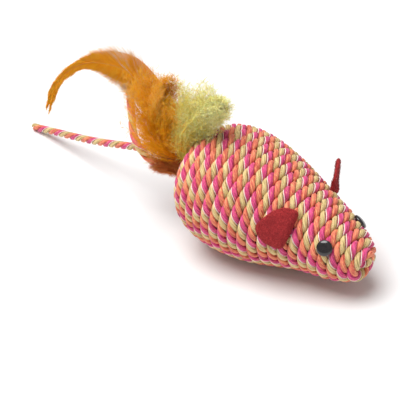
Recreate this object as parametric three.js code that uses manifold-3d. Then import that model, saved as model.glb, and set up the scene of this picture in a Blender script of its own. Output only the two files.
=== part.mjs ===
// A cat toy shaped like a mouse: a firm egg-shaped core wound with twisted cord, felt ears,
// bead eyes on pins, and a rear socket that holds a tail cord, a cord loop and four dyed feathers.
// Lengths are in millimetres and angles in degrees. The body is drawn along X from its rear pole
// towards the nose, Y to the mouse's left and Z up, and is then laid on the floor on its belly.

import * as THREE from 'three';
import { mergeVertices } from 'three/addons/utils/BufferGeometryUtils.js';
import Module from 'manifold-3d';

// Body over the cord
const bodyLength = 84.7;
const bodyRadius = 24.05;
const stationShares = [0, 0.02, 0.08, 0.17, 0.29, 0.43, 0.57, 0.71, 0.83, 0.92, 0.98, 1];
const radiusShares = [0, 0.526, 0.831, 0.971, 0.997, 0.928, 0.804, 0.665, 0.54, 0.4, 0.24, 0];
const noseDip = 9;

// Winding cord
const turnPitch = 3.97;
const windingAcross = 3.52;
const windingSides = 6;
const stepsPerTurn = 24;
const firstStepShare = 0.5;
const seatGap = 0.3;
const firstTurnWall = 0.1;
const noseTurnRadius = 4.7;
const noseTuckDepth = 6.5;
const tuckBend = 2.7;
const tuckStraight = 4.2;
const crossingShares = [0.9, 0.15];
const bellyFlatShare = 0.1;

// Rear socket, cut in the core along its axis
const socketRadius = 5;
const socketDepth = 18;
const glueDepth = 7;

// Felt ears
const feltThick = 1.5;
const earLength = 12;
const earWidth = 14.5;
const earTabDepth = 2;
const earTabShare = 0.72;
const earBend = 1.6;
const earTwistShare = 0.45;
const rightEar = {
  stationShare: 0.68, side: -53, layBack: 84, twist: 0, rootShare: 1, sweepShare: 0.22, cupShare: 0.81,
};
const leftEar = {
  stationShare: 0.65, side: 54, layBack: 40, twist: 30, rootShare: 0.4, sweepShare: 0, cupShare: 2.5,
};

// Bead eyes
const eyeRadius = 2.9;
const eyeHeight = 1.5;
const eyeRim = 0.5;
const eyeSink = 0.4;
const eyePinRadius = 0.6;
const eyePinLength = 8;
const eyeStationShare = 0.845;
const eyeSide = 51.7;

// Free cords
const tailAcross = 3.2;
const cordSides = 8;

// Orange hackle feather
const hackleLength = 90;
const quillRadius = 0.65;
const vaneThick = 0.9;

// Down plumes
const plumeQuillRadius = 0.5;
const plumeLength = 36;
const plumeHalf = 3.4;
const lowerPlumeLength = 26;
const lowerPlumeHalf = 2.2;
const ruffleShare = 0.05;

// One overrun for cuts
const overrun = 5;

const wasm = await Module();
wasm.setup();

const radians = (degrees) => (degrees * Math.PI) / 180;
const vec = (x, y, z) => new THREE.Vector3(x, y, z);

// Solids and meshes

function solidOf(geometry) {
  let bare = geometry.clone();
  bare.deleteAttribute('normal');
  bare.deleteAttribute('uv');
  bare = mergeVertices(bare);
  const corners = bare.index.array;
  const triangles = [];
  for (let i = 0; i < corners.length; i += 3) {
    const [a, b, c] = [corners[i], corners[i + 1], corners[i + 2]];
    if (a !== b && b !== c && c !== a) {
      triangles.push(a, b, c);
    }
  }
  return new wasm.Manifold(new wasm.Mesh({
    numProp: 3,
    vertProperties: new Float32Array(bare.attributes.position.array),
    triVerts: new Uint32Array(triangles),
  }));
}

function geometryOf(solid) {
  const mesh = solid.getMesh();
  const geometry = new THREE.BufferGeometry();
  geometry.setAttribute('position', new THREE.BufferAttribute(mesh.vertProperties, 3));
  geometry.setIndex(new THREE.BufferAttribute(mesh.triVerts, 1));
  geometry.computeVertexNormals();
  return geometry;
}

function volumeOf(points, triangles) {
  let total = 0;
  for (let i = 0; i < triangles.length; i += 3) {
    const [a, b, c] = [points[triangles[i]], points[triangles[i + 1]], points[triangles[i + 2]]];
    total += a.dot(b.clone().cross(c)) / 6;
  }
  return total;
}

// A closed skin over rings of equal count, capped at both ends
function loft(rings) {
  const count = rings[0].length;
  const points = rings.flat();
  const triangles = [];
  for (let i = 0; i + 1 < rings.length; i += 1) {
    for (let k = 0; k < count; k += 1) {
      const a = i * count + k;
      const b = i * count + ((k + 1) % count);
      triangles.push(a, b, a + count, b, b + count, a + count);
    }
  }
  for (const [ring, flip] of [[0, true], [rings.length - 1, false]]) {
    const centre = rings[ring].reduce((sum, p) => sum.add(p), vec(0, 0, 0)).divideScalar(count);
    const middle = points.push(centre) - 1;
    for (let k = 0; k < count; k += 1) {
      const a = ring * count + k;
      const b = ring * count + ((k + 1) % count);
      triangles.push(...(flip ? [b, a, middle] : [a, b, middle]));
    }
  }
  if (volumeOf(points, triangles) < 0) {
    triangles.reverse();
  }
  const geometry = new THREE.BufferGeometry();
  geometry.setAttribute('position', new THREE.Float32BufferAttribute(points.flatMap((p) => p.toArray()), 3));
  geometry.setIndex(triangles);
  geometry.computeVertexNormals();
  return geometry;
}

function cloth(colour) {
  return new THREE.MeshStandardMaterial({ color: colour, roughness: 0.95, metalness: 0 });
}

function piece(name, geometry, material) {
  const mesh = new THREE.Mesh(geometry, material);
  mesh.name = name;
  return mesh;
}

// Body outline

const outline = new THREE.SplineCurve(
  stationShares.map((share, i) => new THREE.Vector2(share * bodyLength, radiusShares[i] * bodyRadius)),
);
const outlinePoints = outline.getSpacedPoints(400);

// The outline moved inwards, as a list of places with their running length
function insetOutline(inset, rearRadius, noseRadius) {
  const line = [];
  outlinePoints.forEach((point, i) => {
    const before = outlinePoints[Math.max(i - 1, 0)];
    const after = outlinePoints[Math.min(i + 1, outlinePoints.length - 1)];
    const along = after.clone().sub(before).normalize();
    const x = point.x + along.y * inset;
    const r = point.y - along.x * inset;
    const least = x < bodyLength / 2 ? rearRadius : noseRadius;
    if (r >= least) {
      line.push({ x, r, nx: -along.y, nr: along.x, length: 0 });
    }
  });
  for (let i = 1; i < line.length; i += 1) {
    line[i].length = line[i - 1].length + Math.hypot(line[i].x - line[i - 1].x, line[i].r - line[i - 1].r);
  }
  return line;
}

function placeAt(line, length) {
  let i = 1;
  while (i < line.length - 1 && line[i].length < length) {
    i += 1;
  }
  const [a, b] = [line[i - 1], line[i]];
  const share = (length - a.length) / (b.length - a.length);
  const mix = (key) => a[key] + (b[key] - a[key]) * share;
  return { x: mix('x'), r: mix('r'), nx: mix('nx'), nr: mix('nr') };
}

// A point at a radius and an angle round the body's axis, 0 at the back and positive to the left
function around(x, r, angle) {
  return vec(x, r * Math.sin(angle), r * Math.cos(angle));
}

// Winding: one tube from a tuck beside the socket to a tuck at the nose

const tubeRadius = windingAcross / 2;
const crest = tubeRadius * Math.cos(Math.PI / windingSides);
const firstTurnRadius = socketRadius + seatGap + firstTurnWall + tubeRadius;
const windingLine = insetOutline(crest, firstTurnRadius, noseTurnRadius);
const windingLength = windingLine[windingLine.length - 1].length;
const turns = windingLength / turnPitch;

function turnPlace(turn) {
  const place = placeAt(windingLine, turn * turnPitch);
  const angle = 2 * Math.PI * turn;
  return { point: around(place.x, place.r, angle), out: around(0, 1, angle), angle };
}

function windingRoute() {
  const route = [];
  const start = turnPlace(0);
  const startWay = vec(0, Math.cos(start.angle), -Math.sin(start.angle));
  const inward = vec(1, 0, 0);
  const bendSteps = 7;
  const corner = start.point.clone().addScaledVector(inward, tuckBend);
  const mouth = corner.clone().addScaledVector(startWay, -tuckBend);
  const rearEnd = mouth.clone().addScaledVector(inward, tuckStraight);
  route.push(rearEnd, rearEnd.clone().lerp(mouth, 0.5));
  for (let i = 0; i < bendSteps; i += 1) {
    const angle = (i / bendSteps) * (Math.PI / 2);
    route.push(corner.clone()
      .addScaledVector(startWay, -tuckBend * Math.cos(angle))
      .addScaledVector(inward, -tuckBend * Math.sin(angle)));
  }
  const steps = Math.floor(turns * stepsPerTurn - firstStepShare);
  for (let i = 0; i <= steps; i += 1) {
    route.push(turnPlace((i + firstStepShare) / stepsPerTurn).point);
  }
  const last = turnPlace((steps + firstStepShare) / stepsPerTurn);
  const lastWay = vec(0, Math.cos(last.angle), -Math.sin(last.angle));
  const noseEnd = vec(last.point.x - noseTuckDepth, 0, 0);
  const noseMouth = noseEnd.clone().addScaledVector(inward, tuckStraight);
  const [alongShare, outShare] = crossingShares;
  const crossing = new THREE.CubicBezierCurve3(
    last.point,
    last.point.clone()
      .addScaledVector(lastWay, noseTurnRadius * alongShare)
      .addScaledVector(inward, windingAcross * outShare),
    noseMouth.clone().addScaledVector(inward, noseTurnRadius),
    noseMouth,
  );
  const crossSteps = 14;
  for (let i = 1; i <= crossSteps; i += 1) {
    route.push(crossing.getPoint(i / crossSteps));
  }
  route.push(noseMouth.clone().lerp(noseEnd, 0.5), noseEnd);
  return { route, rearEnd, noseEnd, firstTurnStep: bendSteps + 2, lastTurnStep: bendSteps + 2 + steps };
}

const winding = windingRoute();

// Rings of the tube, with two corners of each ring facing the turns beside it
function windingRings({ route, firstTurnStep, lastTurnStep }) {
  const ways = route.map((p, i) => route[Math.min(i + 1, route.length - 1)].clone()
    .sub(route[Math.max(i - 1, 0)]).normalize());
  const outs = [];
  for (let i = firstTurnStep; i <= lastTurnStep; i += 1) {
    outs[i] = vec(0, route[i].y, route[i].z).normalize();
  }
  for (let i = firstTurnStep - 1; i >= 0; i -= 1) {
    outs[i] = outs[i + 1].clone();
    outs[i].addScaledVector(ways[i], -outs[i].dot(ways[i])).normalize();
  }
  for (let i = lastTurnStep + 1; i < route.length; i += 1) {
    outs[i] = outs[i - 1].clone();
    outs[i].addScaledVector(ways[i], -outs[i].dot(ways[i])).normalize();
  }
  return route.map((point, i) => {
    const out = outs[i].addScaledVector(ways[i], -outs[i].dot(ways[i])).normalize();
    const side = ways[i].clone().cross(out);
    const ring = [];
    for (let k = 0; k < windingSides; k += 1) {
      const angle = (2 * Math.PI * k) / windingSides;
      ring.push(point.clone()
        .addScaledVector(side, tubeRadius * Math.cos(angle))
        .addScaledVector(out, tubeRadius * Math.sin(angle)));
    }
    return ring;
  });
}

// The least distance between corners of rings that are not neighbours along the cord
function leastGap(rings) {
  const apart = Math.ceil(stepsPerTurn / 3);
  let least = Infinity;
  for (let i = 0; i < rings.length; i += 1) {
    for (let j = i + apart; j < rings.length; j += 1) {
      if (rings[i][0].distanceTo(rings[j][0]) < turnPitch * 3) {
        for (const a of rings[i]) {
          for (const b of rings[j]) {
            least = Math.min(least, a.distanceTo(b));
          }
        }
      }
    }
  }
  return least;
}

const rings = windingRings(winding);
console.log(`turns ${turns.toFixed(1)}, least gap between turns ${leastGap(rings).toFixed(2)} mm`);

// Placing on the floor: the lowest crest of the winding is cut flat by a tenth of the cord

const dipped = new THREE.Matrix4().makeRotationY(radians(noseDip));
const bellyFlat = windingAcross * bellyFlatShare;
const laidRings = rings.map((ring) => ring.map((corner) => corner.clone().applyMatrix4(dipped)));
const floorLevel = Math.min(...laidRings.flat().map(({ z }) => z)) + bellyFlat;
const crests = laidRings.map((ring) => ring[1].clone().lerp(ring[2], 0.5)).sort((a, b) => a.z - b.z);
const mouse = new THREE.Group();
mouse.rotation.y = radians(noseDip);
mouse.position.set(-crests[0].x, 0, -floorLevel);
mouse.updateMatrixWorld(true);

function floorBlock() {
  const size = bodyLength * 3;
  const block = new THREE.BoxGeometry(size, size, size);
  block.translate(0, 0, -size / 2);
  block.applyMatrix4(mouse.matrixWorld.clone().invert());
  return solidOf(block);
}

// Core

const coreInset = crest + tubeRadius + seatGap;
const coreLine = insetOutline(coreInset, 0, 0);

function core() {
  const profile = coreLine.map(({ x, r }) => new THREE.Vector2(r, x));
  profile.unshift(new THREE.Vector2(0, profile[0].y));
  profile.push(new THREE.Vector2(0, profile[profile.length - 1].y));
  const thinned = profile.filter((p, i) => i < 2 || i > profile.length - 3 || i % 12 === 0);
  const egg = new THREE.LatheGeometry(thinned, 32);
  egg.rotateZ(-Math.PI / 2);
  let solid = solidOf(egg);
  solid = solid.subtract(bore(socketRadius, coreLine[0].x - overrun, coreLine[0].x + socketDepth));
  const rearTuck = bore(tubeRadius + seatGap, 0, winding.rearEnd.x + seatGap)
    .translate([0, winding.rearEnd.y, winding.rearEnd.z]);
  const noseTuck = bore(tubeRadius + seatGap, winding.noseEnd.x - seatGap, bodyLength + overrun);
  return geometryOf(solid.subtract(rearTuck).subtract(noseTuck).subtract(eyePins(seatGap)));
}

// A round hole along the body's axis between two stations
function bore(radius, from, to) {
  const rod = new THREE.CylinderGeometry(radius, radius, to - from, 32);
  rod.rotateZ(Math.PI / 2);
  rod.translate((from + to) / 2, 0, 0);
  return solidOf(rod);
}

function gluePlug() {
  const end = coreLine[0].x + socketDepth - seatGap;
  const plug = new THREE.CylinderGeometry(socketRadius - seatGap, socketRadius - seatGap, glueDepth, 32);
  plug.rotateZ(Math.PI / 2);
  plug.translate(end - glueDepth / 2, 0, 0);
  return plug;
}

// Places on the wound surface

const surfaceLine = insetOutline(0, 0, 0);

function surfaceAt(station, angle) {
  const i = surfaceLine.findIndex(({ x }) => x >= station);
  const { x, r, nx, nr } = surfaceLine[i];
  const out = around(0, nr, angle).setX(nx);
  const down = vec(0, Math.cos(angle), -Math.sin(angle)).multiplyScalar(Math.sign(angle));
  const back = around(0, nx, angle).setX(-nr);
  return { point: around(x, r, angle), out, down, back };
}

// Bead eyes

function eyeFrame(side) {
  const { point, out, down } = surfaceAt(eyeStationShare * bodyLength, radians(eyeSide) * side);
  const base = point.clone().addScaledVector(out, -eyeSink);
  return new THREE.Matrix4().makeBasis(down, out, down.clone().cross(out)).setPosition(base);
}

function eyeBead(side) {
  const domeSteps = 7;
  const profile = [[0, -eyePinLength], [eyePinRadius, -eyePinLength], [eyePinRadius, 0], [eyeRadius, 0]];
  for (let i = 0; i <= domeSteps; i += 1) {
    const angle = (i / domeSteps) * (Math.PI / 2);
    profile.push([eyeRadius * Math.cos(angle), eyeRim + (eyeHeight - eyeRim) * Math.sin(angle)]);
  }
  profile[profile.length - 1][0] = 0;
  const bead = new THREE.LatheGeometry(profile.map(([r, y]) => new THREE.Vector2(r, y)), 28);
  return bead.applyMatrix4(eyeFrame(side));
}

function eyePins(gap) {
  const rods = [1, -1].map((side) => {
    const radius = eyePinRadius + gap;
    const rod = new THREE.CylinderGeometry(radius, radius, eyePinLength + gap, 16);
    rod.translate(0, -(eyePinLength + gap) / 2, 0);
    return solidOf(rod.applyMatrix4(eyeFrame(side)));
  });
  return rods[0].add(rods[1]);
}

function eyeSeats(gap) {
  const seats = [1, -1].map((side) => {
    const seat = new THREE.CylinderGeometry(eyeRadius + gap, eyeRadius + gap, eyeHeight + gap, 28);
    seat.translate(0, (eyeHeight + gap) / 2 - gap, 0);
    return solidOf(seat.applyMatrix4(eyeFrame(side)));
  });
  return seats[0].add(seats[1]);
}

// Ears: felt petals whose root is tucked in the groove between two turns

const earShares = [0.95, 1, 1, 0.99, 0.96, 0.9, 0.8, 0.64, 0.42, 0.14];

// The groove between two turns that lies nearest the ear's station on that side
function earGroove(ear) {
  const earStation = ear.stationShare * bodyLength;
  const share = ear.side / 360 + 0.5;
  let best = null;
  for (let turn = 0; turn + share < turns; turn += 1) {
    const { x } = placeAt(windingLine, (turn + share) * turnPitch);
    if (best === null || Math.abs(x - earStation) < Math.abs(best - earStation)) {
      best = x;
    }
  }
  return best;
}

// Place along the ear's length: how far back and how far out of the groove it lies, and its slope
function earStep(length, layBack) {
  const lay = radians(layBack);
  const arc = earBend * lay;
  if (length <= 0) {
    return { back: 0, out: length, slope: 0 };
  }
  if (length <= arc) {
    const slope = length / earBend;
    return { back: earBend * (1 - Math.cos(slope)), out: earBend * Math.sin(slope), slope };
  }
  return {
    back: earBend * (1 - Math.cos(lay)) + (length - arc) * Math.sin(lay),
    out: earBend * Math.sin(lay) + (length - arc) * Math.cos(lay),
    slope: lay,
  };
}

function earSheet(ear, gap) {
  const { point, out, down, back } = surfaceAt(earGroove(ear), radians(ear.side));
  const rows = [[-earTabDepth - gap, earTabShare], [-earTabDepth / 3, earTabShare]];
  earShares.forEach((share, i) => rows.push([(i / (earShares.length - 1)) * (earLength + gap), share]));
  const columns = 8;
  const cupRadius = ear.cupShare * bodyRadius;
  return loft(rows.map(([length, share]) => {
    const step = earStep(length, ear.layBack);
    const u = THREE.MathUtils.clamp(length / earLength, 0, 1);
    const grown = THREE.MathUtils.smoothstep(u, 0, earTwistShare);
    const turn = radians(ear.twist) * grown;
    const half = (earWidth / 2) * share * (ear.rootShare + (1 - ear.rootShare) * grown) + gap;
    const across = down.clone().multiplyScalar(Math.cos(turn)).addScaledVector(back, Math.sin(turn));
    const along = back.clone().multiplyScalar(Math.cos(turn)).addScaledVector(down, -Math.sin(turn));
    const layer = (offset) => {
      const line = [];
      for (let k = 0; k <= columns; k += 1) {
        const wide = (2 * k / columns - 1) * half + ear.sweepShare * earWidth * u * u;
        const bow = wide / cupRadius;
        const tilted = out.clone().multiplyScalar(Math.cos(bow)).addScaledVector(across, Math.sin(bow));
        const rise = step.out + offset * Math.sin(step.slope);
        line.push(point.clone()
          .addScaledVector(tilted, cupRadius + rise)
          .addScaledVector(out, -cupRadius)
          .addScaledVector(along, step.back - offset * Math.cos(step.slope)));
      }
      return line;
    };
    const deep = feltThick / 2 + gap;
    return [...layer(deep), ...layer(-deep).reverse()];
  }));
}

// The winding, with its flat belly and the seats of the ears and eyes

function bodyWinding() {
  let solid = solidOf(loft(rings));
  solid = solid.subtract(floorBlock());
  solid = solid.subtract(solidOf(earSheet(rightEar, seatGap)));
  solid = solid.subtract(solidOf(earSheet(leftEar, seatGap)));
  return solid.subtract(eyeSeats(seatGap)).subtract(eyePins(seatGap));
}

// Free cords, as routes in the body's frame

const plugFace = coreLine[0].x + socketDepth - seatGap - glueDepth;
const cordEnd = plugFace - seatGap;

const tailRoute = [
  [cordEnd, 0, 2.3], [9, 0, 2.3], [4, 0, 2.3], [0, 0, 2.5], [-5, 0, 3], [-10.2, 0, 2.7], [-14.5, 0.1, 0.9],
  [-18.9, 0.2, -1.5],
  [-28, 0.6, -6.7], [-36.3, 1.1, -11.1], [-43.6, 1.6, -14.6], [-51.1, 2.2, -18.1], [-56.7, 2.7, -20.9],
  [-61.7, 3.2, -23.2], [-69, 3.9, -26.5], [-76.6, 4.7, -29.8], [-84.1, 5.4, -32.9], [-91.8, 6.1, -35.9],
  [-98.2, 6.8, -38.6], [-103.7, 7.3, -40.8], [-108.3, 7.6, -42.6], [-112.3, 7.9, -43.9],
];

const loopRoute = [
  [cordEnd, -2.2, -1.9], [9, -2.2, -1.9], [4, -2.2, -1.9], [0, -2.2, -2.1], [-5, -2.1, -3.1], [-10, -1.9, -5],
  [-16, -1.7, -7.9], [-20.5, -1.9, -9.6], [-24.5, -2.6, -9.3], [-28.3, -3.3, -6.7], [-31.2, -3.3, -4.2],
  [-33.9, -2.4, -1.7], [-36.4, -0.6, 0.7], [-39.2, 1.8, 3.4], [-41.8, 3.9, 7], [-43, 5.3, 11.5],
  [-42.2, 6, 16], [-39, 6.2, 20], [-34, 6.3, 22], [-28.5, 6.2, 21.2], [-23, 6, 18.2], [-18, 5.9, 13.6],
  [-13.5, 5.6, 8.2], [-9.5, 4.9, 3.2], [-5, 3.6, -0.2], [-1, 2.5, -1.6], [4, 2.2, -1.9], [9, 2.2, -1.9],
  [cordEnd, 2.2, -1.9],
];

function cord(places, across, steps) {
  const route = new THREE.CatmullRomCurve3(places.map(([x, y, z]) => vec(x, y, z)));
  const section = new THREE.Shape();
  for (let k = 0; k < cordSides; k += 1) {
    const angle = (2 * Math.PI * k) / cordSides;
    const corner = [(across / 2) * Math.cos(angle), (across / 2) * Math.sin(angle)];
    section[k === 0 ? 'moveTo' : 'lineTo'](...corner);
  }
  section.closePath();
  return new THREE.ExtrudeGeometry(section, { steps, extrudePath: route, bevelEnabled: false });
}

// Feathers: a quill from the socket with a blade that widens and narrows along it. The lane is
// in shares of the socket's radius and the route in shares of the feather's length, both from the
// rear pole. A row of widths is the upper side and the lower side in shares of that length, and the
// thickness in shares of the blade's, at even steps along the quill.

function feather({ length, quill, laneShares, routeShares, widthShares, half }) {
  const lane = laneShares.map((share) => share * socketRadius);
  const places = [vec(cordEnd, ...lane), vec(plugFace / 2, ...lane)];
  routeShares.forEach(([x, y, z]) => places.push(vec(x, y, z).multiplyScalar(length)));
  const path = new THREE.CatmullRomCurve3(places);
  const sides = 10;
  return loft(widthShares.map(([near, far, thick], i) => {
    const u = i / (widthShares.length - 1);
    const middle = path.getPointAt(u);
    const along = path.getTangentAt(u);
    const side = vec(0, 1, 0).cross(along).normalize();
    const depth = side.clone().cross(along);
    const wave = 1 + (i % 2 === 0 ? ruffleShare : -ruffleShare);
    const stem = quill * (1 - u / 2);
    const ring = [];
    for (let k = 0; k < sides; k += 1) {
      const angle = (2 * Math.PI * k) / sides;
      const reach = Math.max((Math.cos(angle) > 0 ? near : far) * length * wave, stem);
      const deep = Math.max(thick * half, stem);
      ring.push(middle.clone()
        .addScaledVector(side, reach * Math.cos(angle))
        .addScaledVector(depth, deep * Math.sin(angle)));
    }
    return ring;
  }));
}

const hackle = {
  length: hackleLength,
  quill: quillRadius,
  half: vaneThick / 2,
  laneShares: [0.58, 0.5],
  routeShares: [
    [0, 0.032, 0.03], [-0.055, 0.029, 0.038], [-0.1, 0.026, 0.052], [-0.2, 0.022, 0.11], [-0.3, 0.018, 0.19],
    [-0.38, 0.015, 0.25], [-0.47, 0.012, 0.27], [-0.57, 0.01, 0.25], [-0.705, 0.01, 0.172],
    [-0.85, 0.01, 0.045], [-0.945, 0.01, -0.08], [-1, 0.01, -0.215],
  ],
  widthShares: [
    [0, 0, 0], [0, 0, 0], [0, 0, 0], [0, 0, 0], [0.016, 0.016, 1], [0.055, 0.045, 1], [0.1, 0.075, 1],
    [0.13, 0.1, 1], [0.145, 0.115, 1], [0.14, 0.12, 1], [0.13, 0.12, 1], [0.115, 0.11, 1], [0.09, 0.095, 1],
    [0.067, 0.078, 1], [0.053, 0.056, 1], [0.042, 0.036, 1], [0.035, 0.029, 1], [0.03, 0.026, 1],
    [0.026, 0.023, 1], [0.022, 0.022, 1], [0.02, 0.024, 1], [0.019, 0.013, 1], [0.017, 0.015, 1],
    [0.006, 0.006, 1],
  ],
};

const orangePlume = {
  length: plumeLength,
  quill: plumeQuillRadius,
  half: plumeHalf,
  laneShares: [-0.6, 0.5],
  routeShares: [
    [-0.055, -0.09, 0.075], [-0.195, -0.128, 0.095], [-0.333, -0.162, 0.18], [-0.46, -0.167, 0.36],
    [-0.54, -0.167, 0.58], [-0.583, -0.167, 0.8], [-0.597, -0.167, 0.945],
  ],
  widthShares: [
    [0, 0, 0], [0, 0, 0], [0, 0, 0], [0, 0, 0], [0, 0, 0], [0.03, 0.04, 0.2], [0.06, 0.14, 0.5],
    [0.11, 0.25, 0.8], [0.165, 0.33, 1], [0.215, 0.37, 1], [0.26, 0.36, 1], [0.275, 0.335, 1],
    [0.285, 0.305, 1], [0.285, 0.275, 0.9], [0.25, 0.22, 0.7], [0.1, 0.08, 0.3],
  ],
};

const yellowPlume = {
  length: plumeLength,
  quill: plumeQuillRadius,
  half: plumeHalf,
  laneShares: [-0.82, -0.04],
  routeShares: [
    [0.014, -0.117, 0.017], [-0.028, -0.139, 0.083], [-0.056, -0.144, 0.194], [-0.083, -0.136, 0.39],
    [-0.042, -0.117, 0.61], [0.11, -0.1, 0.82], [0.278, -0.094, 0.917], [0.417, -0.094, 0.945],
  ],
  widthShares: [
    [0, 0, 0], [0, 0, 0], [0, 0, 0], [0, 0, 0], [0, 0, 0], [0.033, 0.042, 0.3], [0.07, 0.083, 0.6],
    [0.11, 0.12, 0.85], [0.14, 0.14, 1], [0.18, 0.165, 1], [0.205, 0.19, 1], [0.215, 0.215, 1],
    [0.215, 0.235, 1], [0.2, 0.22, 0.9], [0.17, 0.165, 0.7], [0.06, 0.06, 0.3],
  ],
};

const lowerPlume = {
  length: lowerPlumeLength,
  quill: plumeQuillRadius,
  half: lowerPlumeHalf,
  laneShares: [0, -0.78],
  routeShares: [
    [0.04, -0.02, -0.17], [-0.115, -0.12, -0.235], [-0.29, -0.24, -0.29], [-0.5, -0.27, -0.346],
    [-0.73, -0.277, -0.442], [-0.92, -0.277, -0.54],
  ],
  widthShares: [
    [0, 0, 0], [0, 0, 0], [0, 0, 0], [0, 0, 0], [0.035, 0.035, 0.3], [0.08, 0.085, 0.7], [0.125, 0.145, 1],
    [0.16, 0.185, 1], [0.185, 0.2, 1], [0.19, 0.19, 1], [0.16, 0.145, 0.8], [0.05, 0.05, 0.3],
  ],
};

// Assembly

const cordColour = 0xe8927a;

mouse.add(
  piece('core', core(), new THREE.MeshStandardMaterial({ color: 0xd9c9a3, roughness: 0.9, metalness: 0 })),
  piece('glue_plug', gluePlug(), new THREE.MeshStandardMaterial({ color: 0xd8c69a, roughness: 0.35, metalness: 0 })),
  piece('body_winding', geometryOf(bodyWinding()), cloth(cordColour)),
  piece('ear_right', earSheet(rightEar, 0), cloth(0x962f32)),
  piece('ear_left', earSheet(leftEar, 0), cloth(0x962f32)),
  piece('eye_right', eyeBead(-1), new THREE.MeshStandardMaterial({ color: 0x1c1719, roughness: 0.15, metalness: 0 })),
  piece('eye_left', eyeBead(1), new THREE.MeshStandardMaterial({ color: 0x1c1719, roughness: 0.15, metalness: 0 })),
  piece('tail_cord', cord(tailRoute, tailAcross, 64), cloth(cordColour)),
  piece('hang_loop', cord(loopRoute, tailAcross, 72), cloth(cordColour)),
  piece('orange_feather', feather(hackle), cloth(0xcf8618)),
  piece('orange_plume', feather(orangePlume), cloth(0xd98a1c)),
  piece('yellow_plume', feather(yellowPlume), cloth(0xd0c683)),
  piece('lower_plume', feather(lowerPlume), cloth(0xa65f28)),
);

export default mouse;
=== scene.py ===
import math

import bmesh
import bpy
import numpy as np
from mathutils import Matrix, Vector


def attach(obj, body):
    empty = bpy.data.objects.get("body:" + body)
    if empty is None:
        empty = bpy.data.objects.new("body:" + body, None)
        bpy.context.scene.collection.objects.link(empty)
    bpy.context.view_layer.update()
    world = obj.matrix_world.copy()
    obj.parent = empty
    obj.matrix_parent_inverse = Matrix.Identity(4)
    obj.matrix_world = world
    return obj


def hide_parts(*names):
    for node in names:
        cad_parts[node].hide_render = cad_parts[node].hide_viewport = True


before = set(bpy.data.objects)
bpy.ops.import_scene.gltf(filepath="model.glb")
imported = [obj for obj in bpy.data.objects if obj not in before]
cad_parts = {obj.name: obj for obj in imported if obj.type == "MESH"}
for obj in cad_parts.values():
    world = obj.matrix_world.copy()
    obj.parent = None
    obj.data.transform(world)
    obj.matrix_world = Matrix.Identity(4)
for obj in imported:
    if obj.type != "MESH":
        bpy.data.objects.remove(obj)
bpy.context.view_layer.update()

# The looks of a cat toy shaped like a mouse: a body wound with three-strand cord, felt ears, bead
# eyes, a cord tail, a cord loop and dyed feathers. Lengths are in millimetres in the body's own
# frame, X from the rear pole to the nose, Y to the mouse's left and Z up, and are laid on the
# floor in metres by one matrix.

MM = 0.001
scene = bpy.context.scene

# Place of the body on the floor
NOSE_DIP = 9.0
BODY_PLACE = (-27.506, 0.0, 27.4169)
LAID = (
    Matrix.Scale(MM, 4)
    @ Matrix.Translation(BODY_PLACE)
    @ Matrix.Rotation(math.radians(NOSE_DIP), 4, "Y")
)

# Body outline and winding
BODY_LENGTH = 84.7
BODY_RADIUS = 24.05
STATION_SHARES = (0, 0.02, 0.08, 0.17, 0.29, 0.43, 0.57, 0.71, 0.83, 0.92, 0.98, 1)
RADIUS_SHARES = (0, 0.526, 0.831, 0.971, 0.997, 0.928, 0.804, 0.665, 0.54, 0.4, 0.24, 0)
TURN_PITCH = 3.97
TURN_INSET = 1.5242
FIRST_TURN_RADIUS = 7.16
NOSE_TURN_RADIUS = 4.7
NOSE_TUCK_DEPTH = 6.5
TUCK_BEND = 2.7
TUCK_STRAIGHT = 4.2
CROSSING_SHARES = (0.9, 0.15)
CORD_RADIUS = 2.1
CORD_PUSH = 0.4
CORD_LAY = 9.38
CORD_STEP = 0.55
STRAND_MIDDLE = 0.53
STRAND_DEPTH = 0.47
STRAND_WIDTH = 0.7
BELLY_SOFT = 0.5
LEAN_BACK = 0.4
LEAN_RIGHT = 0.4
LEAN_GROWS = 6.0
LEAN_FADES = 6.0
WANDERS = ((0.1, 1.7, 0.6), (0.07, 4.3, 2))
HOLLOW_DEPTH = 2.0
HOLLOW_STATION = 60.0
HOLLOW_REACH = 15.0
HOLLOW_SIDE = -150.0
OUTLINE_STEPS = 60
OUTLINE_POINTS = 401
POINTS_PER_TURN = 180
BEND_POINTS = 12
CROSSING_POINTS = 30

# Rear socket
SOCKET_RADIUS = 5.0
PLUG_FACE = 14.326
CORD_END = 14.026

# Unit length of a straight line before it is bent, in metres
LINE_UNIT = 0.01

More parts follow.
